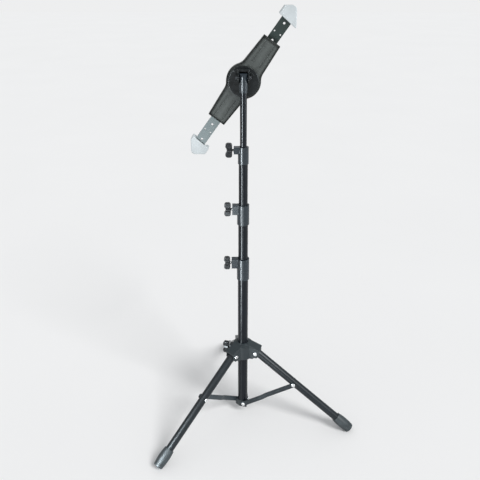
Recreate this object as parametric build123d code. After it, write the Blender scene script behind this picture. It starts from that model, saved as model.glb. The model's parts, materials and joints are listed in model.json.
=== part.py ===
"""Floor stand for a tablet: a telescoping mast on a folding tripod, with a diagonal corner-claw holder.

Millimetres, +Z up, -Y towards the photograph's viewer, the floor at zero height. The model is laid out
round the mast's axis, and then moved sideways so that its bounding box is centred over the origin.
"""
import os
from math import atan2, cos, degrees, hypot, radians, sin, sqrt, tan

from build123d import *

# Clearances and cuts
slide_gap = 0.3
pin_gap = 0.05
overrun = 2.0

# Mast tubes, lowest first, with how far each tube and the head stand out at rest
lower_tube_diameter = 22.0
second_tube_diameter = 20.0
third_tube_diameter = 18.0
top_tube_diameter = 13.0
tube_wall = 0.7
top_tube_wall = 1.0
lower_tube_length = 351.5
second_tube_length = 360.0
third_tube_length = 355.0
top_tube_length = 350.0
middle_collar_rise = 121.0
upper_collar_rise = 119.0
top_tube_rise = 118.0
guide_height = 12.0
guide_bore = 6.0
guide_chamfer = 0.8

# Clamp collars: body and side block
lower_collar_diameter = 26.0
lower_collar_height = 49.0
lower_collar_block_reach = 24.0
lower_collar_block_height = 21.0
middle_collar_diameter = 24.6
middle_collar_height = 43.0
middle_collar_block_reach = 22.0
middle_collar_block_height = 20.0
upper_collar_diameter = 21.0
upper_collar_height = 34.0
upper_collar_block_reach = 18.5
upper_collar_block_height = 13.0
collar_block_width = 15.0
collar_shoulder = 1.5
collar_edge = 1.0

# Clamp screws: stud, nut and wing knob
stud_diameter = 5.0
stud_tip_gap = 0.4
nut_across_flats = 8.0
nut_thickness = 4.0
nut_cover = 2.0
knob_stand_off = 3.0
knob_depth = 13.0
knob_span = 28.0
knob_width = 9.0
knob_corner = 4.6
knob_waist_radius = 9.0
knob_waist_depth = 2.6
knob_hub_diameter = 12.5
knob_edge = 1.0
stud_socket_depth = 8.0

# Tripod: where the legs point, seen from above, counted from +X
right_leg_azimuth = -15.0
left_leg_azimuth = -135.0
rear_leg_azimuth = 99.0
crown_knob_azimuth = 165.0
leg_splay = 52.3
leg_diameter = 17.5
leg_wall = 0.9
leg_head = 4.5
leg_length = 281.5
brace_seat_on_leg = 113.0
leg_pivot_reach = 31.7

# Rubber foot of a leg
foot_length = 42.0
foot_collar_diameter = 21.6
foot_belly_diameter = 24.6
foot_tip_diameter = 20.4
foot_bottom = 4.0
foot_groove_depth = 0.5
foot_groove_width = 1.4
foot_groove_pitch = 3.2
foot_groove_count = 4
foot_tip_edge = 1.8
foot_worn_depth = 0.5

# Crown, the sliding hub that carries the legs, with its heights counted from the legs' pivots
crown_below_pivot = 14.5
crown_above_pivot = 21.5
crown_radius = 22.0
crown_slot_reach = 21.2
crown_ring_wall = 2.4
crown_rim_height = 1.6
ear_thickness = 2.5
ear_below_pivot = 11.0
ear_root = 25.5
ear_reach = 40.5
ear_foot_radius = 6.0
roof_reach = 41.5
roof_drop = 11.0
roof_thickness = 3.0
crown_block_reach = 30.0
crown_block_height = 20.0

# Foot plug in the lower end of the mast, which carries the braces and hangs clear of the floor
plug_clearance = 21.49
plug_flange_radius = 12.2
plug_flange_height = 16.0
plug_spigot_height = 17.0
plug_bore = 7.0
brace_seat = 11.2
brace_pivot_reach = 4.7
brace_pivot_rise = 9.0
lug_reach = 12.0
lug_root = 2.0
lug_edge = 1.0

# Braces
brace_width = 11.0
brace_thickness = 2.0
brace_gap = 0.3
brace_joggle_start = 54.0
brace_joggle_run = 12.0
brace_rib_width = 2.4
brace_rib_height = 0.7
brace_rib_margin = 16.0

# Rivets of the tripod
rivet_diameter = 5.0
rivet_head_diameter = 8.8
rivet_head_height = 2.0
rivet_dome_edge = 1.3
rivet_set = 0.05
plug_pin_depth = 7.0

# Head on the mast's top tube, with the tilt bolt above the tube's end
head_socket_depth = 10.0
head_diameter = 15.6
head_lip_height = 6.0
head_lip_diameter = 14.6
tilt_axis_rise = 11.0
tilt_bolt_diameter = 5.0
tilt_bolt_head_diameter = 8.6
tilt_bolt_head_height = 3.4
tilt_nut_across_flats = 8.0
tilt_nut_thickness = 4.0

# Swivel plate behind the head, with its heights counted from the tilt bolt
plate_drop = 9.5
plate_radius = 28.5
plate_back = 11.0
plate_thickness = 5.0
plate_edge = 1.2
cheek_gap = 0.4
cheek_thickness = 2.8
cheek_radius = 9.5
cheek_rise = 15.0
cheek_top_depth = 4.0
gable_rib_width = 3.0
gable_rib_height = 3.0
gable_right_end = 20.5
gable_right_fall = 15.5
gable_left_end = 17.0
gable_left_fall = 5.5
gable_apex_rise = 17.0
gable_apex_offset = 4.0
axle_diameter = 14.0
axle_washer_diameter = 21.0
axle_washer_thickness = 1.5
axle_screw_diameter = 4.0
axle_screw_head_diameter = 9.0
axle_screw_head_height = 3.0
axle_screw_length = 9.0

# Holder body, across the arms' direction
arm_tilt = 36.0
body_gap = 0.4
body_half_length = 88.2
body_bulge_radius = 32.6
body_root_width = 47.0
body_end_width = 35.6
body_blend = 24.0
body_depth = 14.6
body_wall = 2.4
body_bevel = 2.6
body_groove_offset = 9.0
body_groove_width = 1.2
body_groove_depth = 0.5
body_groove_start = 37.0
body_groove_end = 83.0
rail_offset = 7.0
rail_width = 2.0
rail_start = 24.0
cover_thickness = 2.5
cover_inset = 0.6
pad_thickness = 1.6
pad_inset = 3.0
screw_post_diameter = 5.0
screw_diameter = 2.6
screw_head_diameter = 4.6
screw_head_height = 1.4
screw_length = 9.0
screw_spread = 23.5
screw_reach = 13.0

# Sliding arm strips
strip_width = 21.0
strip_thickness = 2.5
strip_length = 105.0
strip_in_claw = 12.0
strip_corner = 3.0
strip_hole_first = 6.5
strip_hole_pitch = 35.5
strip_pair_offset = 20.0
strip_hole_count = 2
strip_big_hole = 4.3
strip_small_hole = 2.8
strip_small_spread = 6.5
strip_tab_reach = 15.0
strip_tab_length = 5.0
upper_claw_reach = 130.5
lower_claw_reach = 144.5

# Return springs, side by side in the holder body
spring_diameter = 5.0
spring_wire = 0.8
spring_offset = 12.6
spring_post_reach = 34.0
spring_post_diameter = 3.0
spring_hook = 2.5

# Corner claws
claw_length = 30.5
claw_slant = 1.5
claw_short_side = 17.5
claw_long_side = 22.0
claw_wall = 7.0
claw_corner = 8.0
claw_back = 24.5
claw_pocket_depth = 8.6
claw_lip_width = 6.0
claw_lip_thickness = 3.0
claw_edge = 0.9
claw_side_edge = 1.1
claw_rivet_spread = 6.5
claw_rivet_reach = 7.0
claw_rivet_diameter = 3.0
claw_rivet_head_diameter = 5.0
claw_rivet_head_height = 1.2

# Sizes worked out from the ones above
lower_tube_radius = lower_tube_diameter / 2
leg_radius = leg_diameter / 2
rivet_radius = rivet_diameter / 2
tilt_bolt_radius = tilt_bolt_diameter / 2
stud_radius = stud_diameter / 2
head_radius = head_diameter / 2
knob_hub_radius = knob_hub_diameter / 2
slot_half_width = leg_radius + slide_gap
crown_ring_radius = lower_tube_radius + slide_gap + crown_ring_wall
crown_bottom_step = crown_below_pivot - ear_below_pivot
ear_outer = slot_half_width + ear_thickness
brace_inner_on_leg = leg_radius + brace_gap
brace_inner_on_plug = brace_seat + pin_gap
plate_front = plate_back + plate_thickness
body_back = plate_front + body_gap
body_front = body_back + body_depth
cover_front = body_front + cover_thickness
pad_front = cover_front + pad_thickness
body_floor = body_back + body_wall
strip_front = body_front - slide_gap
strip_back = strip_front - strip_thickness
claw_pocket_front = pad_front + claw_pocket_depth
claw_front = claw_pocket_front + claw_lip_thickness
axle_shoulder = body_floor + slide_gap
spring_level = body_floor + (strip_back - body_floor) / 2
screw_tip = cover_front - screw_length
claw_rivet_tip = claw_back + claw_edge
screw_places = [(x * screw_reach, y * screw_spread) for x in (-1, 1) for y in (-1, 1)]
leg_azimuths = {"right": right_leg_azimuth, "left": left_leg_azimuth, "rear": rear_leg_azimuth}


def above(bottom):
    """Place a solid so that its base lies at this height."""
    return Pos(0, 0, bottom)


def rod(radius, bottom, top):
    """Upright cylinder on the local Z axis, from bottom to top."""
    base = (Align.CENTER, Align.CENTER, Align.MIN)
    return above(bottom) * Cylinder(radius, top - bottom, align=base)


def ring(outer, inner, bottom, top):
    """Upright tube on the local Z axis."""
    return rod(outer, bottom, top) - rod(inner, bottom - overrun, top + overrun)


def block(x_low, x_high, y_low, y_high, z_low, z_high):
    """Box between two corners."""
    corner = (Align.MIN, Align.MIN, Align.MIN)
    return Pos(x_low, y_low, z_low) * Box(x_high - x_low, y_high - y_low, z_high - z_low, align=corner)


def prism(points, start, end):
    """Straight prism over a closed outline in the local XY plane."""
    outline = make_face(Polyline(*points, close=True))
    return Pos(0, 0, start) * extrude(outline, end - start)


def upright_prism(points, half_width):
    """Prism over an outline of radial and height values, standing across the local Y axis."""
    outline = Plane.XZ * make_face(Polyline(*points, close=True))
    return extrude(outline, half_width, both=True)


def towards_minus_x(reach, height):
    """Frame whose Z axis runs outwards along -X, starting at a reach from the mast's axis."""
    return Plane(origin=(-reach, 0, height), x_dir=(0, 0, 1), z_dir=(-1, 0, 0)).location


def towards_x(reach, height):
    """Frame whose Z axis runs outwards along +X."""
    return Plane(origin=(reach, 0, height), x_dir=(0, 0, 1), z_dir=(1, 0, 0)).location


def across(reach, offset, height, side):
    """Frame on the local Y axis direction, looking out along side, at a place in a leg's plane."""
    return Plane(origin=(reach, offset, height), x_dir=(1, 0, 0), z_dir=(0, side, 0)).location


def rivet_head():
    """Domed head that sits on the local XY plane."""
    head = rod(rivet_head_diameter / 2, 0, rivet_head_height)
    rim = head.edges().group_by(Axis.Z)[-1]
    return fillet(rim, rivet_dome_edge)


def hex_prism(across_flats, thickness, bore):
    """Hexagonal nut on the local XY plane."""
    face = RegularPolygon(across_flats / 2, 6, major_radius=False)
    nut = extrude(face, thickness)
    if bore > 0:
        nut -= rod(bore, -overrun, thickness + overrun)
    return nut


# A leg's foot rests on the lowest point of its rounded tip, less the worn depth
splay = radians(leg_splay)
tip_edge_along = leg_length - foot_tip_edge
tip_edge_across = foot_tip_diameter / 2 - foot_tip_edge
floor_reach = leg_pivot_reach + tip_edge_along * sin(splay) - tip_edge_across * cos(splay)
tip_drop = tip_edge_along * cos(splay) + tip_edge_across * sin(splay) + foot_tip_edge
leg_pivot_height = tip_drop - foot_worn_depth

# Heights up the mast at rest, each from the one below it
plug_bottom = plug_clearance
brace_pivot_height = plug_bottom + brace_pivot_rise
lower_tube_bottom = plug_bottom + plug_flange_height
crown_bottom = leg_pivot_height - crown_below_pivot
crown_top = leg_pivot_height + crown_above_pivot
ear_bottom = leg_pivot_height - ear_below_pivot
lower_tube_top = lower_tube_bottom + lower_tube_length
lower_collar_top = lower_tube_top + collar_shoulder + lower_collar_block_height
middle_collar_top = lower_collar_top + middle_collar_rise
upper_collar_top = middle_collar_top + upper_collar_rise
second_tube_top = middle_collar_top - middle_collar_block_height - collar_shoulder
third_tube_top = upper_collar_top - upper_collar_block_height - collar_shoulder
head_seat_top = upper_collar_top + top_tube_rise
second_tube_bottom = second_tube_top - second_tube_length
third_tube_bottom = third_tube_top - third_tube_length
top_tube_bottom = head_seat_top - top_tube_length
lower_screw_height = lower_collar_top - lower_collar_block_height / 2
middle_screw_height = middle_collar_top - middle_collar_block_height / 2
upper_screw_height = upper_collar_top - upper_collar_block_height / 2
head_bottom = head_seat_top - head_socket_depth
tilt_axis_height = head_seat_top + tilt_axis_rise
plate_height = tilt_axis_height - plate_drop
cheek_top = tilt_axis_height + cheek_rise
gable_apex_height = tilt_axis_height + gable_apex_rise

# Tripod linkage at rest and folded, the same for every leg
open_joint_reach = leg_pivot_reach + brace_seat_on_leg * sin(splay)
open_joint_height = leg_pivot_height - brace_seat_on_leg * cos(splay)
brace_run = open_joint_reach - brace_pivot_reach
brace_rise = open_joint_height - brace_pivot_height
brace_length = hypot(brace_run, brace_rise)
brace_lean = degrees(atan2(brace_run, brace_rise))
folded_run = leg_pivot_reach - brace_pivot_reach
folded_rise = sqrt(brace_length ** 2 - folded_run ** 2)
folded_lean = degrees(atan2(folded_run, folded_rise))
folded_pivot_height = brace_pivot_height + folded_rise + brace_seat_on_leg
crown_travel = folded_pivot_height - leg_pivot_height
brace_swing = brace_lean - folded_lean


def mast_tube(diameter, wall, bottom, top):
    """One drawn tube of the mast."""
    return ring(diameter / 2, diameter / 2 - wall, bottom, top)


def mast_guide(diameter, wall, outer_bore, bottom):
    """Plug in a tube's lower end, with a skirt that runs in the tube outside it."""
    low = bottom - guide_height
    high = bottom + guide_height
    skirt = rod(outer_bore / 2 - slide_gap, low, bottom)
    skirt = chamfer(skirt.edges().group_by(Axis.Z)[0], guide_chamfer)
    spigot = rod(diameter / 2 - wall, bottom, high)
    return skirt + spigot - rod(guide_bore / 2, low - overrun, high + overrun)


def collar(lower_diameter, upper_diameter, diameter, top, height, reach, block_height):
    """Moulded sleeve that grips one tube, guides the next and carries a clamp screw in its side block."""
    bottom = top - height
    shoulder = top - block_height - collar_shoulder
    sleeve = rod(diameter / 2, bottom, top)
    boss = block(-reach, 0, -collar_block_width / 2, collar_block_width / 2, top - block_height, top)
    boss = fillet(boss.edges().filter_by(Axis.X), collar_edge)
    body = sleeve + boss
    body = chamfer(body.edges().filter_by(GeomType.CIRCLE).group_by(Axis.Z)[0], collar_edge)
    body -= rod(lower_diameter / 2, bottom - overrun, shoulder)
    body -= rod(upper_diameter / 2 + slide_gap, shoulder - overrun, top + overrun)
    screw_height = top - block_height / 2
    face = towards_minus_x(reach, screw_height)
    body -= face * rod(stud_radius + slide_gap, -reach, overrun)
    body -= face * above(-nut_cover - nut_thickness) * hex_prism(nut_across_flats, nut_thickness, 0)
    return body


def collar_nut(reach, screw_height):
    """Nut caught inside a side block."""
    bore = stud_radius + pin_gap
    face = towards_minus_x(reach, screw_height)
    return face * above(-nut_cover - nut_thickness) * hex_prism(nut_across_flats, nut_thickness, bore)


def wing_knob():
    """Wing knob on the local Z axis, its inner end at zero."""
    depth_frame = Plane(origin=(0, 0, knob_depth / 2), x_dir=(0, 0, 1), z_dir=(0, 1, 0))
    outline = RectangleRounded(knob_depth, knob_span, knob_corner)
    waist_centre = knob_depth / 2 + knob_waist_radius - knob_waist_depth
    outline -= Pos(waist_centre, 0) * Circle(knob_waist_radius)
    outline -= Pos(-waist_centre, 0) * Circle(knob_waist_radius)
    wings = extrude(depth_frame * outline, knob_width / 2, both=True)
    wings = fillet(wings.edges().filter_by(Axis.Y, reverse=True), knob_edge)
    hub = rod(knob_hub_radius, 0, knob_depth - knob_waist_depth)
    hub = chamfer(hub.edges().filter_by(GeomType.CIRCLE), knob_edge)
    return wings + hub - rod(stud_radius, -overrun, stud_socket_depth)


def wing_stud(length_inside):
    """Threaded stud moulded into a wing knob, reaching inwards past the knob's inner end."""
    stud = rod(stud_radius, -length_inside, stud_socket_depth)
    return chamfer(stud.edges().group_by(Axis.Z)[0], knob_edge)


def clamp_screw(reach, screw_height, inner_radius):
    """Knob and stud of one collar, in place."""
    face = towards_minus_x(reach + knob_stand_off, screw_height)
    length_inside = reach + knob_stand_off - inner_radius - stud_tip_gap
    return face * wing_knob(), face * wing_stud(length_inside)


def roof_height(reach):
    """Height of the crown's sloping top at a reach from the mast's axis."""
    return crown_top - roof_drop * (reach - crown_ring_radius) / (roof_reach - crown_ring_radius)


def crown_arm():
    """One leg's clevis on the crown, pointing along +X."""
    outline = [
        (0, crown_bottom),
        (ear_root, crown_bottom),
        (ear_root + crown_bottom_step, ear_bottom),
        (ear_reach - ear_foot_radius, ear_bottom),
        (ear_reach, ear_bottom + ear_foot_radius),
        (ear_reach, roof_height(ear_reach) - roof_thickness),
        (roof_reach, roof_height(roof_reach) - roof_thickness),
        (roof_reach, roof_height(roof_reach)),
        (crown_ring_radius, crown_top),
        (0, crown_top),
    ]
    return upright_prism(outline, ear_outer)


def crown_slot():
    """Space between the two ears of a clevis, open outwards and downwards."""
    beyond = roof_reach + overrun
    outline = [
        (crown_slot_reach, crown_bottom - overrun),
        (crown_slot_reach, roof_height(crown_slot_reach) - roof_thickness),
        (beyond, roof_height(beyond) - roof_thickness),
        (beyond, crown_bottom - overrun),
    ]
    return upright_prism(outline, slot_half_width)


def crown_hub():
    """Sliding hub with a sloping top, three clevises and a block for its clamp screw."""
    outline = [
        (0, crown_bottom),
        (crown_radius, crown_bottom),
        (crown_radius, roof_height(crown_radius)),
        (crown_ring_radius, crown_top),
        (crown_ring_radius, crown_top + crown_rim_height),
        (0, crown_top + crown_rim_height),
    ]
    hub = revolve(Plane.XZ * make_face(Polyline(*outline, close=True)), Axis.Z)
    half = collar_block_width / 2
    low = leg_pivot_height - crown_block_height / 2
    boss = block(0, crown_block_reach, -half, half, low, low + crown_block_height)
    boss = fillet(boss.edges().filter_by(Axis.X), collar_edge)
    hub += Rot(0, 0, crown_knob_azimuth) * boss
    for azimuth in leg_azimuths.values():
        hub += Rot(0, 0, azimuth) * crown_arm()
    for azimuth in leg_azimuths.values():
        hub -= Rot(0, 0, azimuth) * crown_slot()
        pin_hole = across(leg_pivot_reach, 0, leg_pivot_height, 1) * rod(rivet_radius, -ear_outer, ear_outer)
        hub -= Rot(0, 0, azimuth) * pin_hole
    hub -= rod(lower_tube_radius + slide_gap, crown_bottom - overrun, crown_top + crown_rim_height + overrun)
    hub -= crown_screw_frame(crown_block_reach) * rod(stud_radius + slide_gap, -crown_block_reach, overrun)
    nut_place = crown_screw_frame(crown_block_reach - nut_cover - nut_thickness)
    return hub - nut_place * hex_prism(nut_across_flats, nut_thickness, 0)


def crown_screw_frame(reach):
    """Frame along the crown's clamp screw, at a reach from the mast's axis."""
    turn = radians(crown_knob_azimuth)
    direction = (cos(turn), sin(turn), 0)
    origin = (reach * cos(turn), reach * sin(turn), leg_pivot_height)
    return Plane(origin=origin, x_dir=(0, 0, 1), z_dir=direction).location


def crown_rivet():
    """Pivot rivet of one leg, through both ears, pointing across +X."""
    near = across(leg_pivot_reach, -ear_outer, leg_pivot_height, -1) * rivet_head()
    far = across(leg_pivot_reach, ear_outer, leg_pivot_height, 1) * rivet_head()
    shank = across(leg_pivot_reach, 0, leg_pivot_height, 1) * rod(rivet_radius, -ear_outer, ear_outer)
    return near + far + shank


def on_leg(azimuth):
    """Frame of a leg at rest: Z up the leg's axis, origin at its pivot."""
    return Rot(0, 0, azimuth) * Pos(leg_pivot_reach, 0, leg_pivot_height) * Rot(0, -leg_splay, 0)


def leg_tube(azimuth):
    """Round leg tube, drilled for its pivot and for the brace's rivet."""
    inside_foot = leg_length - foot_bottom
    tube = ring(leg_radius, leg_radius - leg_wall, -inside_foot, leg_head)
    tube -= across(0, 0, 0, 1) * rod(rivet_radius + pin_gap, -leg_diameter, leg_diameter)
    tube -= across(0, 0, -brace_seat_on_leg, 1) * rod(rivet_radius, -leg_diameter, leg_diameter)
    return on_leg(azimuth) * tube


def leg_foot(azimuth):
    """Barrel-shaped rubber foot, ringed towards its tip and worn flat where it meets the floor."""
    start = foot_length - leg_length
    end = -leg_length
    middle = (start + end) / 2
    collar_point = (foot_collar_diameter / 2, start)
    belly_point = (foot_belly_diameter / 2, middle)
    tip_point = (foot_tip_diameter / 2, end)
    side = ThreePointArc(collar_point, belly_point, tip_point)
    rest = Polyline(tip_point, (0, end), (0, start), collar_point)
    foot = revolve(Plane.XZ * make_face(Curve() + [side, rest]), Axis.Z)
    foot = fillet(foot.edges().group_by(Axis.Z)[0], foot_tip_edge)
    for index in range(foot_groove_count):
        groove_height = end + foot_tip_edge + foot_groove_pitch * (index + 1)
        reach_there = foot_belly_diameter / 2 + overrun
        wall_there = foot_outer_radius(groove_height, middle) - foot_groove_depth
        foot -= ring(reach_there, wall_there, groove_height, groove_height + foot_groove_width)
    foot -= rod(leg_radius, end + foot_bottom, start + overrun)
    foot = on_leg(azimuth) * foot
    reach = leg_pivot_reach + leg_length + foot_length
    return foot - block(-reach, reach, -reach, reach, -reach, 0)


def foot_outer_radius(height, middle):
    """Outer radius of the foot's barrel at a height along the leg, from a parabola close to its arc."""
    share = (height - middle) / (foot_length / 2)
    belly = foot_belly_diameter / 2
    edge_diameter = foot_collar_diameter if share > 0 else foot_tip_diameter
    return belly - (belly - edge_diameter / 2) * share ** 2


def leg_rivet(azimuth):
    """Leg's part of the brace rivet: shank through the tube and the head on the side away from the brace."""
    place = across(0, 0, -brace_seat_on_leg, 1)
    head = across(0, leg_radius - rivet_set, -brace_seat_on_leg, 1) * rivet_head()
    shank = place * rod(rivet_radius, -leg_radius, leg_radius)
    return on_leg(azimuth) * (head + shank)


def on_brace(azimuth):
    """Frame of a brace at rest: Z along the brace, origin at its lower pivot."""
    return Rot(0, 0, azimuth) * Pos(brace_pivot_reach, 0, brace_pivot_height) * Rot(0, brace_lean, 0)


def brace(azimuth):
    """Flat bar with a step between its two seats, a stiffening rib and two rounded ends."""
    low = -brace_inner_on_plug
    high = -brace_inner_on_leg
    end_radius = brace_width / 2
    joggle_end = brace_joggle_start + brace_joggle_run
    top = brace_length + end_radius
    side_view = [
        (low, -end_radius),
        (low, brace_joggle_start),
        (high, joggle_end),
        (high, top),
        (high - brace_thickness, top),
        (high - brace_thickness, joggle_end),
        (low - brace_thickness, brace_joggle_start),
        (low - brace_thickness, -end_radius),
    ]
    bar = extrude(Plane.YZ * make_face(Polyline(*side_view, close=True)), end_radius, both=True)
    flat = Plane.XZ * Pos(0, brace_length / 2) * SlotCenterToCenter(brace_length, brace_width, rotation=90)
    bar &= extrude(flat, brace_inner_on_plug * 2, both=True)
    rib_low = low - brace_thickness - brace_rib_height
    rib_high = high - brace_thickness - brace_rib_height
    rib_view = [
        (low - brace_thickness / 2, brace_rib_margin),
        (low - brace_thickness / 2, brace_joggle_start),
        (high - brace_thickness / 2, joggle_end),
        (high - brace_thickness / 2, brace_length - brace_rib_margin),
        (rib_high, brace_length - brace_rib_margin - brace_rib_width),
        (rib_high, joggle_end),
        (rib_low, brace_joggle_start),
        (rib_low, brace_rib_margin + brace_rib_width),
    ]
    bar += extrude(Plane.YZ * make_face(Polyline(*rib_view, close=True)), brace_rib_width / 2, both=True)
    bar -= across(0, 0, 0, -1) * rod(rivet_radius + pin_gap, 0, brace_inner_on_plug * 2)
    bar -= across(0, 0, brace_length, -1) * rod(rivet_radius, 0, brace_inner_on_plug * 2)
    return on_brace(azimuth) * bar


def brace_rivet(azimuth):
    """Brace's part of the leg rivet: a short shank in the bar and the head outside it."""
    head_seat = brace_inner_on_leg + brace_thickness
    head = across(0, -head_seat, brace_length, -1) * rivet_head()
    shank = across(0, -brace_inner_on_leg, brace_length, -1) * rod(rivet_radius, 0, brace_thickness)
    return on_brace(azimuth) * (head + shank)


def foot_plug():
    """Plug in the mast's lower end, with a flat-sided lug for each brace."""
    plug = rod(plug_flange_radius, plug_bottom, lower_tube_bottom)
    for azimuth in leg_azimuths.values():
        lug = block(-lug_root, lug_reach, -brace_seat, 0, plug_bottom, lower_tube_bottom)
        plug += Rot(0, 0, azimuth) * fillet(lug.edges().filter_by(Axis.Z).sort_by(Axis.X)[-1], lug_edge)
    spigot_radius = lower_tube_radius - tube_wall
    plug += rod(spigot_radius, lower_tube_bottom, lower_tube_bottom + plug_spigot_height)
    plug -= rod(plug_bore / 2, plug_bottom - overrun, lower_tube_bottom + plug_spigot_height + overrun)
    for azimuth in leg_azimuths.values():
        beyond = -lug_reach - overrun
        outside_flat = block(-lug_reach, lug_reach, beyond, -brace_seat, plug_bottom, lower_tube_bottom)
        plug -= Rot(0, 0, azimuth) * outside_flat
        hole = across(brace_pivot_reach, -brace_seat, brace_pivot_height, 1)
        plug -= Rot(0, 0, azimuth) * hole * rod(rivet_radius, -overrun, plug_pin_depth)
    return plug


def plug_rivet(azimuth):
    """Lower pivot of a brace, set in the plug's lug."""
    seat = brace_inner_on_plug + brace_thickness + pin_gap
    head = across(brace_pivot_reach, -seat, brace_pivot_height, -1) * rivet_head()
    shank_frame = across(brace_pivot_reach, -brace_seat, brace_pivot_height, 1)
    shank = shank_frame * rod(rivet_radius, brace_seat - seat, plug_pin_depth)
    return Rot(0, 0, azimuth) * (head + shank)


def mast_head():
    """Cap on the top tube: a lip, a round body and a rounded top round the tilt bolt."""
    cap = rod(head_radius, head_bottom, tilt_axis_height)
    cap += towards_x(-head_radius, tilt_axis_height) * rod(head_radius, 0, head_diameter)
    cap &= rod(head_radius, head_bottom, tilt_axis_height + head_diameter)
    cap += rod(head_lip_diameter / 2, head_bottom - head_lip_height, head_bottom)
    cap = chamfer(cap.edges().filter_by(GeomType.CIRCLE).group_by(Axis.Z)[0], collar_edge / 2)
    cap -= rod(top_tube_diameter / 2, head_bottom - head_lip_height - overrun, head_seat_top)
    bolt_hole = rod(tilt_bolt_radius + pin_gap, 0, head_diameter + 2 * overrun)
    return cap - towards_x(-head_radius - overrun, tilt_axis_height) * bolt_hole


def cheek(side):
    """One ear of the swivel plate beside the mast's head, on the +X or -X side."""
    inner = head_radius + cheek_gap
    round_end = rod(cheek_radius, 0, cheek_thickness)
    face = towards_x(inner, tilt_axis_height) if side > 0 else towards_minus_x(inner, tilt_axis_height)
    near = inner if side > 0 else -inner - cheek_thickness
    far = near + cheek_thickness
    web = block(near, far, 0, plate_back + overrun, tilt_axis_height - cheek_radius, cheek_top)
    horn = block(near, far, -cheek_top_depth, plate_back, tilt_axis_height, cheek_top)
    hole = face * rod(tilt_bolt_radius, -overrun, cheek_thickness + overrun)
    return face * round_end + web + horn - hole


def gable():
    """Bridge over the head between the cheeks, with two sloping ribs on the plate."""
    inner = head_radius + cheek_gap + cheek_thickness
    bridge_bottom = cheek_top - cheek_top_depth
    bridge = block(-inner, inner, 0, plate_back + overrun, bridge_bottom, cheek_top)
    right_end = gable_apex_height - gable_right_fall
    left_end = gable_apex_height - gable_left_fall
    right = [
        (gable_apex_offset, gable_apex_height),
        (gable_right_end, right_end),
        (gable_right_end - gable_rib_width, right_end - gable_rib_width),
        (gable_apex_offset, gable_apex_height - 2 * gable_rib_width),
    ]
    left = [
        (-gable_apex_offset, gable_apex_height),
        (-gable_left_end, left_end),
        (-gable_left_end, left_end - gable_rib_width),
        (-gable_apex_offset, gable_apex_height - gable_rib_width),
    ]
    top = [
        (-gable_apex_offset, bridge_bottom),
        (-gable_apex_offset, gable_apex_height),
        (gable_apex_offset, gable_apex_height),
        (gable_apex_offset, bridge_bottom),
    ]
    ribs = None
    for outline in (right, left, top):
        face = Plane.XZ * make_face(Polyline(*outline, close=True))
        rib = Pos(0, plate_back + overrun, 0) * extrude(face, gable_rib_height + overrun)
        ribs = rib if ribs is None else ribs + rib
    return bridge + ribs


def swivel_plate():
    """Round plate with the clevis for the mast's head on one side and the holder's axle on the other."""
    frame = Plane(origin=(0, plate_back, plate_height), x_dir=(1, 0, 0), z_dir=(0, 1, 0)).location
    disc = rod(plate_radius, 0, plate_thickness)
    disc = fillet(disc.edges().group_by(Axis.Z)[0], plate_edge)
    axle_end = axle_shoulder - plate_back
    plate = frame * (disc + rod(axle_diameter / 2, 0, axle_end))
    plate += cheek(1)
    plate += cheek(-1)
    plate += gable()
    return plate - frame * rod(axle_screw_diameter / 2, axle_end - axle_screw_length, axle_end + overrun)


def tilt_bolt():
    """Cross bolt that the plate tilts on, its head on the +X side."""
    outside = head_radius + cheek_gap + cheek_thickness
    shank = towards_x(-outside - tilt_nut_thickness, tilt_axis_height)
    bolt = shank * rod(tilt_bolt_radius, 0, 2 * outside + tilt_nut_thickness)
    head = rod(tilt_bolt_head_diameter / 2, 0, tilt_bolt_head_height)
    head = fillet(head.edges().group_by(Axis.Z)[-1], knob_edge)
    return bolt + towards_x(outside, tilt_axis_height) * head


def tilt_nut():
    """Locking nut on the tilt bolt's far end."""
    outside = head_radius + cheek_gap + cheek_thickness
    face = towards_minus_x(outside, tilt_axis_height)
    return face * hex_prism(tilt_nut_across_flats, tilt_nut_thickness, tilt_bolt_radius)


def in_holder(solid):
    """Move a solid from the arms' frame (along the arm, across it, away from the viewer) into place."""
    lean = radians(arm_tilt)
    frame = Plane(origin=(0, 0, plate_height), x_dir=(sin(lean), 0, cos(lean)), z_dir=(0, 1, 0))
    return frame.location * solid


def holder_outline(inset):
    """Outline of the holder: a round middle and two arms that taper outwards."""
    root = body_root_width / 2 - inset
    end = body_end_width / 2 - inset
    length = body_half_length - inset
    arms = make_face(Polyline((0, root), (length, end), (length, -end), (0, -root),
                              (-length, -end), (-length, end), close=True))
    shape = arms + Circle(body_bulge_radius - inset)
    inner_corners = [v for v in shape.vertices() if abs(v.X) < body_bulge_radius]
    return fillet(inner_corners, body_blend)


def strip_channel(reach):
    """Cut for a strip through the end wall, open towards the cover."""
    half = strip_width / 2 + slide_gap
    return block(reach, body_half_length + overrun, -half, half, strip_back - slide_gap, body_front + overrun)


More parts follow.
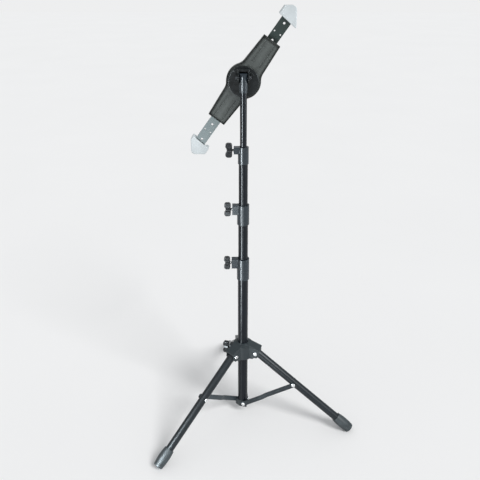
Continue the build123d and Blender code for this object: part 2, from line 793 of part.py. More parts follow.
def holder_body():
    """Rear shell of the holder: walls, rails under the strips, posts and a bore for the plate's axle."""
    outside = Pos(0, 0, body_back) * extrude(holder_outline(0), body_depth)
    outside = chamfer(outside.faces().sort_by(Axis.Z)[0].edges(), body_bevel)
    hollow = Pos(0, 0, body_floor) * extrude(holder_outline(body_wall), body_depth)
    body = outside - hollow
    rail_end = body_half_length - body_wall
    for turn in (0, 180):
        half = []
        for side in (-1, 1):
            inner = side * rail_offset - rail_width / 2
            rail = block(rail_start, rail_end, inner, inner + rail_width, body_floor, strip_back - slide_gap)
            half.append(rail)
        post_place = Pos(-spring_post_reach, spring_offset, 0)
        half.append(post_place * rod(spring_post_diameter / 2, body_floor, spring_level))
        for solid in half:
            body += Rot(0, 0, turn) * solid
        body -= Rot(0, 0, turn) * strip_channel(body_half_length - 2 * body_wall)
        for side in (-1, 1):
            groove_low = side * body_groove_offset - body_groove_width / 2
            groove = block(body_groove_start, body_groove_end, groove_low, groove_low + body_groove_width,
                           body_back - overrun, body_back + body_groove_depth)
            body -= Rot(0, 0, turn) * groove
    for x, y in screw_places:
        body += Pos(x, y, 0) * rod(screw_post_diameter / 2, body_floor, body_front)
        body -= Pos(x, y, 0) * rod(screw_diameter / 2, screw_tip, body_front + overrun)
    body -= rod(axle_diameter / 2 + slide_gap, body_back - overrun, body_floor + overrun)
    return in_holder(body)


def holder_cover():
    """Flat front cover that closes the holder over the strips."""
    cover = Pos(0, 0, body_front) * extrude(holder_outline(cover_inset), cover_thickness)
    head_base = cover_front - screw_head_height
    for x, y in screw_places:
        cover -= Pos(x, y, 0) * rod(screw_diameter / 2, body_front - overrun, cover_front)
        cover -= Pos(x, y, 0) * rod(screw_head_diameter / 2, head_base, cover_front + overrun)
    return in_holder(cover)


def holder_pad():
    """Rubber pad that the tablet's back lies on."""
    pad = Pos(0, 0, cover_front) * extrude(holder_outline(pad_inset), pad_thickness)
    for x, y in screw_places:
        pad -= Pos(x, y, 0) * rod(screw_head_diameter / 2, cover_front - overrun, pad_front + overrun)
    return in_holder(pad)


def holder_screws():
    """Four small screws that hold the cover to the rear shell."""
    screws = []
    for x, y in screw_places:
        screw = rod(screw_head_diameter / 2, cover_front - screw_head_height, cover_front)
        screw += rod(screw_diameter / 2, screw_tip, cover_front - screw_head_height)
        screws.append(in_holder(Pos(x, y, 0) * screw))
    return screws


def axle_washer():
    """Washer that keeps the holder on the plate's axle."""
    hole = axle_screw_diameter / 2
    washer = ring(axle_washer_diameter / 2, hole, axle_shoulder, axle_shoulder + axle_washer_thickness)
    return in_holder(washer)


def axle_screw():
    """Screw into the axle that holds the washer."""
    head_base = axle_shoulder + axle_washer_thickness
    screw = rod(axle_screw_head_diameter / 2, head_base, head_base + axle_screw_head_height)
    screw = fillet(screw.edges().group_by(Axis.Z)[-1], knob_edge)
    screw += rod(axle_screw_diameter / 2, axle_shoulder - axle_screw_length, head_base)
    return in_holder(screw)


def arm_strip(claw_reach):
    """Drilled steel strip of one arm, along +X of the arms' frame."""
    outer_end = claw_reach + strip_in_claw
    inner_end = outer_end - strip_length
    half = strip_width / 2
    strip = block(inner_end, outer_end, -half, half, strip_back, strip_front)
    strip = fillet(strip.edges().filter_by(Axis.Z), strip_corner)
    for index in range(strip_hole_count):
        x = claw_reach - strip_hole_first - strip_hole_pitch * index
        strip -= Pos(x, 0, 0) * rod(strip_big_hole / 2, strip_back - overrun, strip_front + overrun)
        for side in (-1, 1):
            place = Pos(x - strip_pair_offset, side * strip_small_spread, 0)
            strip -= place * rod(strip_small_hole / 2, strip_back - overrun, strip_front + overrun)
    tab_start = inner_end + strip_corner
    strip += block(tab_start, tab_start + strip_tab_length, 0, strip_tab_reach, strip_back, strip_front)
    peg = rod(spring_post_diameter / 2, spring_level - spring_diameter / 2, strip_back)
    strip += Pos(tab_start + strip_tab_length / 2, spring_offset, 0) * peg
    for side in (-1, 1):
        place = Pos(claw_reach + claw_rivet_reach, side * claw_rivet_spread, 0)
        strip -= place * rod(claw_rivet_diameter / 2, strip_back - overrun, strip_front + overrun)
    return strip


def claw_outline(claw_reach, low_side, high_side, inset):
    """Corner outline of a claw with its two outer walls along the tablet's edges, drawn in by an inset."""
    lean = radians(arm_tilt)
    corner = claw_reach + claw_length - inset * (sin(lean) + cos(lean))
    drift = -inset * (cos(lean) - sin(lean))
    low = -low_side
    high = high_side
    low_x = corner - (drift - low) * tan(lean)
    high_x = corner - (high - drift) / tan(lean)
    back = claw_reach if inset == 0 else claw_reach - overrun
    if inset > 0:
        low -= overrun
        high += overrun
        low_x -= overrun * tan(lean)
        high_x -= overrun / tan(lean)
        back -= claw_length
    return [
        (back + claw_slant, low),
        (low_x, low),
        (corner, drift),
        (high_x, high),
        (back - claw_slant, high),
    ]


def claw(claw_reach, low_side, high_side):
    """Corner claw: back plate round the strip, two walls and a lip over the tablet's front."""
    shell = prism(claw_outline(claw_reach, low_side, high_side, 0), claw_back, claw_front)
    shell = fillet(shell.edges().filter_by(Axis.Z).sort_by(Axis.X)[:-1], claw_side_edge)
    shell = fillet(shell.edges().filter_by(Axis.Z).sort_by(Axis.X)[-1], claw_corner)
    shell = chamfer(shell.faces().sort_by(Axis.Z)[0].edges(), claw_edge)
    shell -= prism(claw_outline(claw_reach, low_side, high_side, claw_wall), pad_front, claw_pocket_front)
    mouth = claw_outline(claw_reach, low_side, high_side, claw_wall + claw_lip_width)
    shell -= prism(mouth, claw_pocket_front - overrun, claw_front + overrun)
    half = strip_width / 2
    shell -= block(claw_reach - overrun, claw_reach + strip_in_claw, -half, half, strip_back, strip_front)
    for side in (-1, 1):
        place = Pos(claw_reach + claw_rivet_reach, side * claw_rivet_spread, 0)
        shell -= place * rod(claw_rivet_diameter / 2, claw_rivet_tip, pad_front + overrun)
        head_base = pad_front - claw_rivet_head_height
        shell -= place * rod(claw_rivet_head_diameter / 2, head_base, pad_front + overrun)
    return shell


def claw_rivets(claw_reach):
    """Two screws that hold a claw to its strip, with their heads sunk in the claw's floor."""
    rivets = []
    for side in (-1, 1):
        place = Pos(claw_reach + claw_rivet_reach, side * claw_rivet_spread, 0)
        head_base = pad_front - claw_rivet_head_height
        rivet = rod(claw_rivet_head_diameter / 2, head_base, pad_front)
        rivet += rod(claw_rivet_diameter / 2, claw_rivet_tip, head_base)
        rivets.append(place * rivet)
    return rivets


def arm_spring(claw_reach):
    """Return spring as a plain tube from its post on the body to the peg under the strip's tab."""
    tab_middle = claw_reach + strip_in_claw - strip_length + strip_corner + strip_tab_length / 2
    start = -spring_post_reach + spring_post_diameter / 2
    end = tab_middle - spring_post_diameter / 2
    axis = Plane(origin=(start, spring_offset, spring_level), x_dir=(0, 1, 0), z_dir=(1, 0, 0)).location
    coil_end = end - start - spring_hook
    coil = ring(spring_diameter / 2, spring_diameter / 2 - spring_wire, spring_hook, coil_end)
    half_wire = spring_wire / 2
    hook = rod(half_wire, 0, spring_hook + spring_wire)
    far_hook = above(coil_end - spring_wire) * hook
    bar_reach = spring_diameter / 2 - half_wire
    bar = block(-half_wire, half_wire, -bar_reach, bar_reach, 0, spring_wire)
    near_bar = above(spring_hook) * bar
    far_bar = above(coil_end - spring_wire) * bar
    return axis * (coil + hook + far_hook + near_bar + far_bar)


def mast_pieces():
    """Tubes, guides, collars, nuts, knobs and head of the mast."""
    lower_bore = lower_tube_diameter - 2 * tube_wall
    second_bore = second_tube_diameter - 2 * tube_wall
    third_bore = third_tube_diameter - 2 * tube_wall
    found = {
        "lower_mast_tube": mast_tube(lower_tube_diameter, tube_wall, lower_tube_bottom, lower_tube_top),
        "second_mast_tube": mast_tube(second_tube_diameter, tube_wall, second_tube_bottom, second_tube_top),
        "third_mast_tube": mast_tube(third_tube_diameter, tube_wall, third_tube_bottom, third_tube_top),
        "top_mast_tube": mast_tube(top_tube_diameter, top_tube_wall, top_tube_bottom, head_seat_top),
        "second_tube_guide": mast_guide(second_tube_diameter, tube_wall, lower_bore, second_tube_bottom),
        "third_tube_guide": mast_guide(third_tube_diameter, tube_wall, second_bore, third_tube_bottom),
        "top_tube_guide": mast_guide(top_tube_diameter, top_tube_wall, third_bore, top_tube_bottom),
        "lower_collar": collar(lower_tube_diameter, second_tube_diameter, lower_collar_diameter,
                               lower_collar_top, lower_collar_height, lower_collar_block_reach,
                               lower_collar_block_height),
        "middle_collar": collar(second_tube_diameter, third_tube_diameter, middle_collar_diameter,
                                middle_collar_top, middle_collar_height, middle_collar_block_reach,
                                middle_collar_block_height),
        "upper_collar": collar(third_tube_diameter, top_tube_diameter, upper_collar_diameter,
                               upper_collar_top, upper_collar_height, upper_collar_block_reach,
                               upper_collar_block_height),
        "lower_collar_nut": collar_nut(lower_collar_block_reach, lower_screw_height),
        "middle_collar_nut": collar_nut(middle_collar_block_reach, middle_screw_height),
        "upper_collar_nut": collar_nut(upper_collar_block_reach, upper_screw_height),
        "mast_head": mast_head(),
    }
    screws = {
        "lower": (lower_collar_block_reach, lower_screw_height, second_tube_diameter / 2),
        "middle": (middle_collar_block_reach, middle_screw_height, third_tube_diameter / 2),
        "upper": (upper_collar_block_reach, upper_screw_height, top_tube_diameter / 2),
    }
    for name, (reach, height, inner_radius) in screws.items():
        found[name + "_knob"], found[name + "_knob_stud"] = clamp_screw(reach, height, inner_radius)
    return found


def crown_pieces():
    """Sliding crown with its rivets, nut, knob and stud."""
    rivets = [Rot(0, 0, azimuth) * crown_rivet() for azimuth in leg_azimuths.values()]
    nut_place = crown_screw_frame(crown_block_reach - nut_cover - nut_thickness)
    knob_place = crown_screw_frame(crown_block_reach + knob_stand_off)
    inside = crown_block_reach + knob_stand_off - lower_tube_radius - stud_tip_gap
    return {
        "crown_hub": crown_hub(),
        "crown_rivets": rivets,
        "crown_nut": nut_place * hex_prism(nut_across_flats, nut_thickness, stud_radius + pin_gap),
        "crown_knob": knob_place * wing_knob(),
        "crown_knob_stud": knob_place * wing_stud(inside),
    }


def tripod_pieces():
    """Legs, feet, braces and rivets, and the plug at the mast's lower end."""
    found = {
        "foot_plug": foot_plug(),
        "foot_plug_rivets": [plug_rivet(azimuth) for azimuth in leg_azimuths.values()],
    }
    for side, azimuth in leg_azimuths.items():
        found[side + "_leg_tube"] = leg_tube(azimuth)
        found[side + "_foot"] = leg_foot(azimuth)
        found[side + "_leg_rivet"] = leg_rivet(azimuth)
        found[side + "_brace"] = brace(azimuth)
        found[side + "_brace_rivet"] = brace_rivet(azimuth)
    return found


def holder_pieces():
    """Swivel plate, holder body and its two sliding arms with their claws."""
    found = {
        "swivel_plate": swivel_plate(),
        "tilt_bolt": tilt_bolt(),
        "tilt_nut": tilt_nut(),
        "axle_washer": axle_washer(),
        "axle_screw": axle_screw(),
        "holder_body": holder_body(),
        "holder_cover": holder_cover(),
        "holder_pad": holder_pad(),
        "holder_screws": holder_screws(),
    }
    arms = {
        "upper": (upper_claw_reach, 0, claw_short_side, claw_long_side),
        "lower": (lower_claw_reach, 180, claw_long_side, claw_short_side),
    }
    for name, (reach, turn, low_side, high_side) in arms.items():
        spin = Rot(0, 0, turn)
        found[name + "_arm_strip"] = in_holder(spin * arm_strip(reach))
        found[name + "_claw"] = in_holder(spin * claw(reach, low_side, high_side))
        found[name + "_claw_screws"] = [in_holder(spin * rivet) for rivet in claw_rivets(reach)]
        found[name + "_arm_spring"] = in_holder(spin * arm_spring(reach))
    return found


def as_compound(solids):
    """One compound per node, whether it holds one solid or a group of them."""
    parts = solids if isinstance(solids, list) else [solids]
    return Compound(children=[solid for part in parts for solid in part.solids()])


def build():
    """Every node of the stand, moved sideways so that its bounding box is centred over the origin."""
    found = {}
    for group in (mast_pieces(), crown_pieces(), tripod_pieces(), holder_pieces()):
        for name, solids in group.items():
            found[name] = as_compound(solids)
    boxes = [part.bounding_box() for part in found.values()]
    middle_x = (min(box.min.X for box in boxes) + max(box.max.X for box in boxes)) / 2
    middle_y = (min(box.min.Y for box in boxes) + max(box.max.Y for box in boxes)) / 2
    shift = Location((-middle_x, -middle_y, 0))
    moved = {name: part.moved(shift) for name, part in found.items()}
    return moved, (middle_x, middle_y)


def main():
    """Write one file per node."""
    os.makedirs("parts", exist_ok=True)
    nodes, middle = build()
    for name, part in nodes.items():
        export_step(part, f"parts/{name}.step")
    print("nodes", len(nodes), "mast axis at", -middle[0], -middle[1])
    print("crown travel", crown_travel, "leg swing", leg_splay, "brace swing", brace_swing)
    print("leg pivot height", leg_pivot_height, "contact reach", floor_reach)
    return nodes, middle


nodes, build_middle = main()
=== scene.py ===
"""Looks of the tablet floor stand: finishes, coiled return springs, camera, lights and floor.

Lengths are in metres, angles in degrees and colours in linear RGB.
"""
import json
import math

import bpy
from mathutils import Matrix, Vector


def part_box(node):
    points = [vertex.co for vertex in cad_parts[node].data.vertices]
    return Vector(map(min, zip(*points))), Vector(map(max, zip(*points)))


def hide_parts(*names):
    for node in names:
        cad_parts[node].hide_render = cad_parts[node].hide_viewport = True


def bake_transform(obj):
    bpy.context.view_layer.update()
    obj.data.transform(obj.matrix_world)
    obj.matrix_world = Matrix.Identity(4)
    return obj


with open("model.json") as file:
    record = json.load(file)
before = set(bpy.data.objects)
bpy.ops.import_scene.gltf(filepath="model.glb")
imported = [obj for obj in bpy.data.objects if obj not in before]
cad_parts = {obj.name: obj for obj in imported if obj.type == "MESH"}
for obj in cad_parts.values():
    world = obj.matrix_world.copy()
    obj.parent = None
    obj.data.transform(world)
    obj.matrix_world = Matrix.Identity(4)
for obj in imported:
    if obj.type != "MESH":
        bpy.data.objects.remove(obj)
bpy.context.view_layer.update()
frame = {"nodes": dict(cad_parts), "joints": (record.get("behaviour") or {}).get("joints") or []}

# Where the mast stands, read from the frame
tube_low, tube_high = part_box("lower_mast_tube")
mast_x = (tube_low.x + tube_high.x) / 2
mast_y = (tube_low.y + tube_high.y) / 2

# Camera, as fitted to the photograph, with its lens and sensor in millimetres
camera_distance = 1.05
camera_height = 0.9525
camera_pitch = 25.4
camera_yaw = 0.35
camera_lens = 42.15
sensor_width = 36.0

# Floor and surroundings
floor_size = 30.0
floor_colour = (0.88, 0.88, 0.88)
horizon_colour = (0.855, 0.860, 0.865)
ambient_strength = 0.56
ambient_colour = (0.97, 0.985, 1.0)

# Sun: its azimuth from the camera's side, its height at a distance of 1, strength and width
key_azimuth = 44
key_height = 0.95
key_strength = 2.0
key_spread = 22

# Strips that show in gloss alone: name, azimuth, distance, middle height, width and height, watts
strip_light_colour = (0.86, 0.95, 1.0)
strip_lights = [
    ("high_strip", -37, 1.20, 0.52, (0.26, 1.0), 43.0),
    ("low_strip", -37, 0.45, 0.14, (0.09, 0.25), 3.2),
    ("right_strip", 46, 0.75, 0.98, (0.05, 0.4), 2.0),
    ("rim_strip", 72, 0.60, 0.92, (0.20, 0.45), 7.0),
    ("floor_strip", -10, 0.90, 0.10, (0.40, 0.14), 2.2),
]

# Return springs
spring_wire = 0.0008
spring_hook = 0.0025
spring_pitch = 0.0037
spring_steps = 16
spring_sides = 8

# Colours of the finishes
mast_colour = (0.005, 0.0075, 0.0115)
leg_colour = (0.012, 0.017, 0.021)
brace_colour = (0.032, 0.042, 0.049)
collar_colour = (0.024, 0.034, 0.043)
crown_colour = (0.030, 0.040, 0.045)
knob_colour = (0.009, 0.011, 0.014)
plate_colour = (0.007, 0.010, 0.011)
holder_colour = (0.080, 0.091, 0.086)
claw_colour = (0.60, 0.65, 0.67)
pad_colour = (0.022, 0.022, 0.022)
foot_colour = (0.044, 0.056, 0.062)
strip_colour = (0.085, 0.094, 0.094)
# Painted shade: the upper strip is the same brushed steel as the lower one, coloured darker for the
# shade it stands in
strip_painted_shade_colour = (0.026, 0.032, 0.030)
steel_colour = (0.86, 0.87, 0.88)
zinc_colour = (0.62, 0.62, 0.60)
bolt_colour = (0.045, 0.047, 0.05)

# Edges that the shading rounds off
soft_edge = 0.0005
metal_edge = soft_edge / 2
holder_edge = 0.0022

# Painted shade along the holder's edges, drawn as a dark outline: its width, how far the rounded
# normal agrees with the flat one where it starts and where it is full, its tints and the share of
# the gloss that is left in it
painted_shade_width = 0.0066
painted_shade_start = 0.9996
painted_shade_full = 0.965
painted_shade_tints = (0.06, 0.12)
painted_shade_shine = 0.1

# Threads, and the turn of the crown's stud from X
thread_pitch = 0.0008
crown_stud_turn = 15.0


def tinted(colour, factor):
    """A colour made lighter or darker by one factor, as a Blender RGBA."""
    return (*[min(1.0, channel * factor) for channel in colour], 1.0)


class Finish:
    """A Principled material with short calls for its noise, bump and colour nodes."""

    def __init__(self, name):
        self.material = bpy.data.materials.new(name)
        self.material.use_nodes = True
        self.tree = self.material.node_tree
        self.shader = self.tree.nodes["Principled BSDF"]
        self.place = self.tree.nodes.new("ShaderNodeTexCoord").outputs["Object"]

    def link(self, output, target):
        self.tree.links.new(output, target)

    def feed(self, output, socket):
        """Link an output to a socket of the shader."""
        self.link(output, self.shader.inputs[socket])

    def set(self, **values):
        """Constants on the shader's sockets, named with _ for each space."""
        for name, value in values.items():
            self.shader.inputs[name.replace("_", " ")].default_value = value

    def mapped(self, scale, turn=(0.0, 0.0, 0.0)):
        """Coordinates turned by radians and then scaled, so that a pattern can run along a part."""
        turned = self.tree.nodes.new("ShaderNodeMapping")
        turned.inputs["Rotation"].default_value = turn
        self.link(self.place, turned.inputs["Vector"])
        scaled = self.tree.nodes.new("ShaderNodeMapping")
        scaled.inputs["Scale"].default_value = scale
        self.link(turned.outputs["Vector"], scaled.inputs["Vector"])
        return scaled.outputs["Vector"]

    def noise(self, scale, detail=3.0, roughness=0.55, vector=None):
        node = self.tree.nodes.new("ShaderNodeTexNoise")
        node.inputs["Scale"].default_value = scale
        node.inputs["Detail"].default_value = detail
        node.inputs["Roughness"].default_value = roughness
        self.link(vector or self.place, node.inputs["Vector"])
        return node.outputs["Fac"]

    def ramp(self, fac, stops):
        """Colour ramp over (position, colour) stops, where a colour may be one grey value."""
        node = self.tree.nodes.new("ShaderNodeValToRGB")
        elements = node.color_ramp.elements
        while len(elements) < len(stops):
            elements.new(0.5)
        for element, (position, colour) in zip(elements, stops):
            grey = isinstance(colour, float)
            element.position = position
            element.color = (colour, colour, colour, 1.0) if grey else colour
        self.link(fac, node.inputs["Fac"])
        return node.outputs["Color"]

    def tints(self, fac, colour, stops):
        """Colour ramp over (position, factor) stops, each a tint of one colour."""
        return self.ramp(fac, [(position, tinted(colour, factor)) for position, factor in stops])

    def gloss(self, fac, low, high, end=0.7):
        """Roughness from low to high as a pattern rises from 0.3 to its end."""
        self.feed(self.ramp(fac, [(0.3, low), (end, high)]), "Roughness")

    def mix(self, fac, first, second):
        node = self.tree.nodes.new("ShaderNodeMix")
        node.data_type = "RGBA"
        colours = [socket for socket in node.inputs if socket.type == "RGBA"]
        self.link(fac, node.inputs[0])
        self.link(first, colours[0])
        self.link(second, colours[1])
        return next(socket for socket in node.outputs if socket.type == "RGBA")

    def rounded(self, radius):
        """Normal that rounds sharp edges off in the shading."""
        node = self.tree.nodes.new("ShaderNodeBevel")
        node.samples = 4
        node.inputs["Radius"].default_value = radius
        return node.outputs["Normal"]

    def painted_shade_mask(self, radius):
        """Mask for the painted shade: one at each edge, falling off to nothing within a radius of
        it.
        """
        agreement = self.tree.nodes.new("ShaderNodeVectorMath")
        agreement.operation = "DOT_PRODUCT"
        flat = self.tree.nodes.new("ShaderNodeNewGeometry").outputs["True Normal"]
        self.link(flat, agreement.inputs[0])
        self.link(self.rounded(radius), agreement.inputs[1])
        return self.ramp(agreement.outputs["Value"], [(painted_shade_full, 1.0), (painted_shade_start, 0.0)])

    def bump(self, height, distance, strength, edge=None):
        """Bump of a pattern, over edges rounded by a radius where one is given."""
        node = self.tree.nodes.new("ShaderNodeBump")
        node.inputs["Distance"].default_value = distance
        node.inputs["Strength"].default_value = strength
        self.link(height, node.inputs["Height"])
        if edge:
            self.link(self.rounded(edge), node.inputs["Normal"])
        self.feed(node.outputs["Normal"], "Normal")


def enamel(name, colour, gloss, shine, turned=0.0):
    """Baked enamel on steel: slight orange peel, faint marks along the tube, dusty patches."""
    finish = Finish(name)
    patches = finish.noise(scale=18.0, detail=4.0)
    tone = finish.tints(patches, colour, [(0.3, 0.85), (0.55, 1.1), (0.8, 1.5)])
    finish.feed(tone, "Base Color")
    along = finish.mapped(scale=(900.0, 900.0, 9.0))
    finish.gloss(finish.noise(scale=1.0, detail=2.0, vector=along), *gloss, end=0.75)
    peel = finish.noise(scale=420.0, detail=2.0)
    finish.bump(peel, distance=0.00001, strength=0.3, edge=soft_edge)
    finish.set(Specular_IOR_Level=shine, Anisotropic=turned, Anisotropic_Rotation=0.25)
    return finish.material


def moulding(name, colour, gloss, grain=0.00005, sheen=1.25, shine=0.28, painted_edge_shade=False):
    """Moulded plastic with a fine spark-eroded grain and slightly polished, uneven gloss, and
    painted shade along its edges where asked.
    """
    finish = Finish(name)
    cloud = finish.noise(scale=26.0, detail=5.0)
    tone = finish.tints(cloud, colour, [(0.3, 0.88), (0.6, 1.05), (0.85, sheen)])
    finish.set(Specular_IOR_Level=shine)
    if painted_edge_shade:
        # Painted shade: colour and gloss go dark along every edge, standing in for the shade on the
        # side walls.
        shade_mask = finish.painted_shade_mask(painted_shade_width)
        shade_low_tint, shade_high_tint = painted_shade_tints
        shade_tone = finish.tints(cloud, colour, [(0.3, shade_low_tint), (0.7, shade_high_tint)])
        tone = finish.mix(shade_mask, tone, shade_tone)
        shade_shine = finish.ramp(shade_mask, [(0.0, shine), (1.0, shine * painted_shade_shine)])
        finish.feed(shade_shine, "Specular IOR Level")
    finish.feed(tone, "Base Color")
    finish.gloss(finish.noise(scale=140.0, detail=4.0), *gloss)
    fine = finish.noise(scale=2600.0, detail=2.0)
    finish.bump(fine, distance=grain, strength=0.5, edge=holder_edge if painted_edge_shade else soft_edge)
    return finish.material


def brushed(name, colour):
    """Steel strip brushed along its length, with a few longer scratches and a dull patch or two."""
    finish = Finish(name)
    turn = (0.0, -arm_lean, 0.0)
    along = finish.mapped(scale=(5200.0, 900.0, 38.0), turn=turn)
    grain = finish.noise(scale=1.0, detail=3.0, roughness=0.7, vector=along)
    along = finish.mapped(scale=(1400.0, 400.0, 9.0), turn=turn)
    scratch = finish.noise(scale=1.0, detail=1.0, roughness=0.5, vector=along)
    tone = finish.tints(grain, colour, [(0.25, 0.82), (0.6, 1.0), (0.85, 1.18)])
    shade_shine = finish.tints(scratch, colour, [(0.35, 0.88), (0.6, 1.05)])
    finish.feed(finish.mix(finish.noise(scale=30.0), tone, shade_shine), "Base Color")
    finish.gloss(grain, 0.44, 0.56, end=0.75)
    finish.bump(grain, distance=0.000003, strength=0.4, edge=metal_edge)
    finish.set(Metallic=1.0)
    return finish.material


def threaded(name, colour, turn):
    """Plated stud with the ridges of its thread, which run round an axis at this turn from X."""
    finish = Finish(name)
    wave = finish.tree.nodes.new("ShaderNodeTexWave")
    wave.bands_direction = "X"
    wave.inputs["Scale"].default_value = 1.0
    turns = math.pi / (10.0 * thread_pitch)
    across = finish.mapped(scale=(turns, turns, turns), turn=(0.0, 0.0, math.radians(turn)))
    finish.link(across, wave.inputs["Vector"])
    ridges = wave.outputs["Fac"]
    # Painted shade and highlight: the thread's grooves are coloured darker and its crests lighter.
    finish.feed(finish.tints(ridges, colour, [(0.2, 0.45), (0.7, 1.1)]), "Base Color")
    finish.gloss(finish.noise(scale=300.0), 0.24, 0.38)
    finish.bump(ridges, distance=thread_pitch / 2, strength=0.8)
    finish.set(Metallic=1.0)
    return finish.material


def bright_metal(name, colour, gloss):
    """Plated rivets, screws and nuts, with light handling marks."""
    finish = Finish(name)
    cloud = finish.noise(scale=210.0, detail=4.0)
    finish.feed(finish.tints(cloud, colour, [(0.3, 0.8), (0.65, 1.0), (0.9, 1.12)]), "Base Color")
    finish.gloss(cloud, *gloss)
    fine = finish.noise(scale=1500.0, detail=2.0)
    finish.bump(fine, distance=0.00002, strength=0.4, edge=metal_edge)
    finish.set(Metallic=1.0)
    return finish.material


def rubber(name, colour, gloss, bloom, shine):
    """Black rubber with a fine skin, a pale bloom in patches and a little dust."""
    finish = Finish(name)
    dust = finish.noise(scale=55.0, detail=6.0, roughness=0.65)
    finish.feed(finish.tints(dust, colour, [(0.35, 0.9), (0.6, 1.1), (0.85, bloom)]), "Base Color")
    finish.gloss(dust, *gloss, end=0.75)
    finish.bump(finish.noise(scale=1700.0), distance=0.0001, strength=0.5, edge=soft_edge)
    finish.set(Specular_IOR_Level=shine)
    return finish.material


def floor_finish():
    """Plain pale floor, matte, with a hardly visible unevenness."""
    finish = Finish("floor")
    cloud = finish.noise(scale=1.5)
    finish.feed(finish.tints(cloud, floor_colour, [(0.3, 0.985), (0.7, 1.0)]), "Base Color")
    finish.gloss(cloud, 0.7, 0.78)
    finish.set(Specular_IOR_Level=0.0)
    return finish.material


def direction_of(joint_name):
    """Unit vector of a joint's axis."""
    joint = next(j for j in frame["joints"] if j["name"] == joint_name)
    return Vector(joint["axis"]).normalized()


arm_axis = direction_of("upper_arm_slide")
arm_lean = math.atan2(arm_axis.x, arm_axis.z)

finishes = {
    "mast": enamel("mast_enamel", mast_colour, gloss=(0.20, 0.30), shine=0.22, turned=0.75),
    "leg": enamel("leg_enamel", leg_colour, gloss=(0.26, 0.38), shine=0.3),
    "brace": enamel("brace_enamel", brace_colour, gloss=(0.26, 0.40), shine=0.28),
    "plate": moulding("plate_enamel", plate_colour, gloss=(0.22, 0.36), grain=0.00003,
                      shine=0.26),
    "collar": moulding("collar_moulding", collar_colour, gloss=(0.20, 0.32), grain=0.00003,
                       shine=0.34),
    "crown": moulding("crown_moulding", crown_colour, gloss=(0.32, 0.46)),
    "knob": moulding("knob_moulding", knob_colour, gloss=(0.22, 0.36), shine=0.32),
    # The holder has painted shade along its edges.
    "holder": moulding("holder_moulding", holder_colour, gloss=(0.36, 0.5), grain=0.00006,
                       sheen=1.15, painted_edge_shade=True),
    "claw": moulding("claw_moulding", claw_colour, gloss=(0.38, 0.52), grain=0.00006, sheen=1.05),
    "pad": rubber("pad_rubber", pad_colour, gloss=(0.55, 0.8), bloom=1.9, shine=0.4),
    "foot": rubber("foot_rubber", foot_colour, gloss=(0.38, 0.55), bloom=2.2, shine=0.34),
    "strip": brushed("brushed_strip", strip_colour),
    # Painted shade: the upper arm's strip, the same steel coloured darker.
    "strip_painted_shade": brushed("brushed_strip_painted_shade", strip_painted_shade_colour),
    "steel": bright_metal("bright_steel", steel_colour, gloss=(0.16, 0.32)),
    "zinc": bright_metal("zinc_plate", zinc_colour, gloss=(0.24, 0.4)),
    "bolt": bright_metal("blackened_bolt", bolt_colour, gloss=(0.26, 0.42)),
    "stud": threaded("stud_thread", zinc_colour, turn=0.0),
    "crown_stud": threaded("crown_stud_thread", zinc_colour, turn=crown_stud_turn),
}

looks = {
    "mast": ["lower_mast_tube", "second_mast_tube", "third_mast_tube", "top_mast_tube"],
    "leg": [],
    "brace": [],
    "plate": ["swivel_plate"],
    "collar": ["lower_collar", "middle_collar", "upper_collar", "mast_head", "second_tube_guide",
               "third_tube_guide", "top_tube_guide"],
    "crown": ["crown_hub", "foot_plug"],
    "knob": ["lower_knob", "middle_knob", "upper_knob", "crown_knob"],
    "holder": ["holder_body", "holder_cover"],
    "claw": ["upper_claw", "lower_claw"],
    "pad": ["holder_pad"],
    "foot": [],
    "strip": ["lower_arm_strip"],
    "strip_painted_shade": ["upper_arm_strip"],
    "steel": ["crown_rivets", "foot_plug_rivets", "holder_screws", "upper_claw_screws",
              "lower_claw_screws", "axle_screw", "axle_washer"],
    "zinc": ["lower_collar_nut", "middle_collar_nut", "upper_collar_nut", "crown_nut"],
    "bolt": ["tilt_bolt", "tilt_nut"],
    "stud": ["lower_knob_stud", "middle_knob_stud", "upper_knob_stud"],
    "crown_stud": ["crown_knob_stud"],
}
for side in ("right", "left", "rear"):
    looks["leg"].append(side + "_leg_tube")
    looks["brace"].append(side + "_brace")
    looks["foot"].append(side + "_foot")
    looks["steel"] += [side + "_leg_rivet", side + "_brace_rivet"]


def dress(node, material):
    """Give a CAD node its finish."""
    piece = frame["nodes"][node]
    piece.data.materials.clear()
    piece.data.materials.append(material)


for look, nodes in looks.items():
    for node in nodes:
        dress(node, finishes[look])


def swept(path, radius, sides):
    """Vertices and faces of a round wire along a path, closed at both ends."""
    vertices, faces = [], []
    across = None
    for index, point in enumerate(path):
        ahead = path[min(index + 1, len(path) - 1)] - path[max(index - 1, 0)]
        ahead.normalize()
        across = ahead.orthogonal() if across is None else across - ahead * across.dot(ahead)
        across.normalize()
        beside = ahead.cross(across)
        for side in range(sides):
            turn = 2 * math.pi * side / sides
            vertices.append(point + radius * (math.cos(turn) * across + math.sin(turn) * beside))
    for index in range(len(path) - 1):
        for side in range(sides):
            first, second = index * sides + side, index * sides + (side + 1) % sides
            faces.append((first, second, second + sides, first + sides))
    last = len(vertices) - sides
    faces.append(tuple(reversed(range(sides))))
    faces.append(tuple(range(last, last + sides)))
    return vertices, faces


def coil_path(start, along, span, reach):
    """Middle line of a spring's wire: a straight hook on its axis, the turns and a second hook."""
    beside = Vector((0.0, 1.0, 0.0))
    across = along.cross(beside)
    coil = span - 2 * spring_hook
    turns = round(coil / spring_pitch)
    steps = turns * spring_steps
    path = [start, start + along * spring_hook / 2]
    for step in range(steps + 1):
        turned = turns * step / steps
        angle = 2 * math.pi * turned
        out = reach * min(1.0, 2 * turned, 2 * (turns - turned))
        round_axis = out * (math.cos(angle) * beside + math.sin(angle) * across)
        path.append(start + along * (spring_hook + coil * step / steps) + round_axis)
    path += [start + along * (span - spring_hook / 2), start + along * span]
    return path


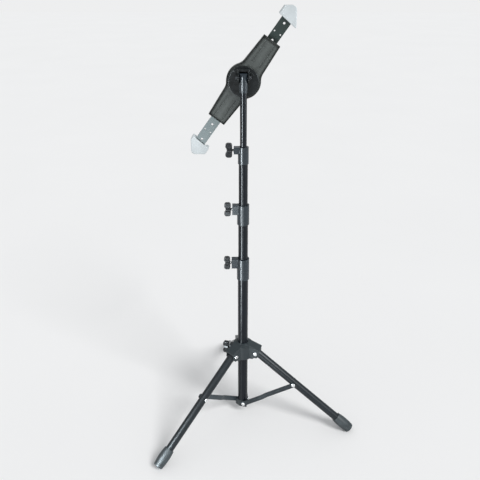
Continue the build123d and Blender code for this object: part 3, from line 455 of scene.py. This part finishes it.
def wind_spring(arm):
    """Coiled return spring of one arm in place of the CAD's plain tube."""
    node = arm + "_spring"
    low, high = (Vector(corner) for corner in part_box(node))
    along = direction_of(arm + "_slide")
    span = (high.z - low.z - spring_wire * abs(along.x)) / abs(along.z)
    start = (low + high - along * span) / 2
    reach = (high.y - low.y - spring_wire) / 2
    path = coil_path(start, along, span, reach)
    vertices, faces = swept(path, spring_wire / 2, spring_sides)
    mesh = bpy.data.meshes.new(node + "_coil")
    mesh.from_pydata(vertices, [], faces)
    mesh.polygons.foreach_set("use_smooth", [True] * len(mesh.polygons))
    mesh.materials.append(finishes["zinc"])
    spring = bpy.data.objects.new(node + "_coil", mesh)
    bpy.context.scene.collection.objects.link(spring)
    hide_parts(node)
    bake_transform(spring)


for arm in ("upper_arm", "lower_arm"):
    wind_spring(arm)


def add_camera():
    """Camera at the photograph's viewing angle."""
    data = bpy.data.cameras.new("camera")
    data.sensor_width = sensor_width
    data.lens = camera_lens
    camera = bpy.data.objects.new("camera", data)
    camera.location = (mast_x, mast_y - camera_distance, camera_height)
    camera.rotation_euler = (math.radians(90 - camera_pitch), 0.0, math.radians(camera_yaw))
    bpy.context.scene.collection.objects.link(camera)
    bpy.context.scene.camera = camera


def add_floor():
    """Plain pale floor."""
    mesh = bpy.data.meshes.new("floor")
    half = floor_size / 2
    corners = [(-half, -half, 0), (half, -half, 0), (half, half, 0), (-half, half, 0)]
    mesh.from_pydata(corners, [], [(0, 1, 2, 3)])
    mesh.materials.append(floor_finish())
    floor = bpy.data.objects.new("floor", mesh)
    bpy.context.scene.collection.objects.link(floor)


def add_surroundings():
    """Even light all round, with a paler horizon where the camera looks at it or through a part."""
    world = bpy.data.worlds.new("studio")
    bpy.context.scene.world = world
    world.use_nodes = True
    nodes, links = world.node_tree.nodes, world.node_tree.links
    ambient = nodes["Background"]
    ambient.inputs["Color"].default_value = (*ambient_colour, 1.0)
    ambient.inputs["Strength"].default_value = ambient_strength
    horizon = nodes.new("ShaderNodeBackground")
    horizon.inputs["Color"].default_value = (*horizon_colour, 1.0)
    rays = nodes.new("ShaderNodeLightPath")
    looked_at = nodes.new("ShaderNodeMath")
    looked_at.operation = "MAXIMUM"
    links.new(rays.outputs["Is Camera Ray"], looked_at.inputs[0])
    links.new(rays.outputs["Is Transmission Ray"], looked_at.inputs[1])
    both = nodes.new("ShaderNodeMixShader")
    links.new(looked_at.outputs[0], both.inputs[0])
    links.new(ambient.outputs[0], both.inputs[1])
    links.new(horizon.outputs[0], both.inputs[2])
    links.new(both.outputs[0], nodes["World Output"].inputs["Surface"])


def aim_at_mast(lamp, azimuth, distance, height, aim_height):
    """Place a lamp round the mast and turn it to a height on the mast."""
    turn = math.radians(azimuth)
    x, y = mast_x + distance * math.sin(turn), mast_y - distance * math.cos(turn)
    lamp.location = (x, y, height)
    aim = Vector((mast_x, mast_y, aim_height)) - lamp.location
    lamp.rotation_mode = "QUATERNION"
    lamp.rotation_quaternion = aim.to_track_quat("-Z", "Y")
    bpy.context.scene.collection.objects.link(lamp)


def add_key():
    """Even light from the right, with a soft shadow."""
    data = bpy.data.lights.new("key", "SUN")
    data.energy = key_strength
    data.angle = math.radians(key_spread)
    lamp = bpy.data.objects.new("key", data)
    aim_at_mast(lamp, key_azimuth, distance=1.0, height=key_height, aim_height=0.0)


def add_strip(name, azimuth, distance, height, size, watts):
    """Rectangular lamp, level with the part of the mast that it faces, seen in gloss alone."""
    data = bpy.data.lights.new(name, "AREA")
    data.shape = "RECTANGLE"
    data.size, data.size_y = size
    data.energy = watts
    data.color = strip_light_colour
    lamp = bpy.data.objects.new(name, data)
    lamp.visible_camera = False
    lamp.visible_diffuse = False
    aim_at_mast(lamp, azimuth, distance, height, aim_height=height)


add_camera()
add_floor()
add_surroundings()
add_key()
for strip_light in strip_lights:
    add_strip(*strip_light)
bpy.context.scene.view_settings.view_transform = "Standard"
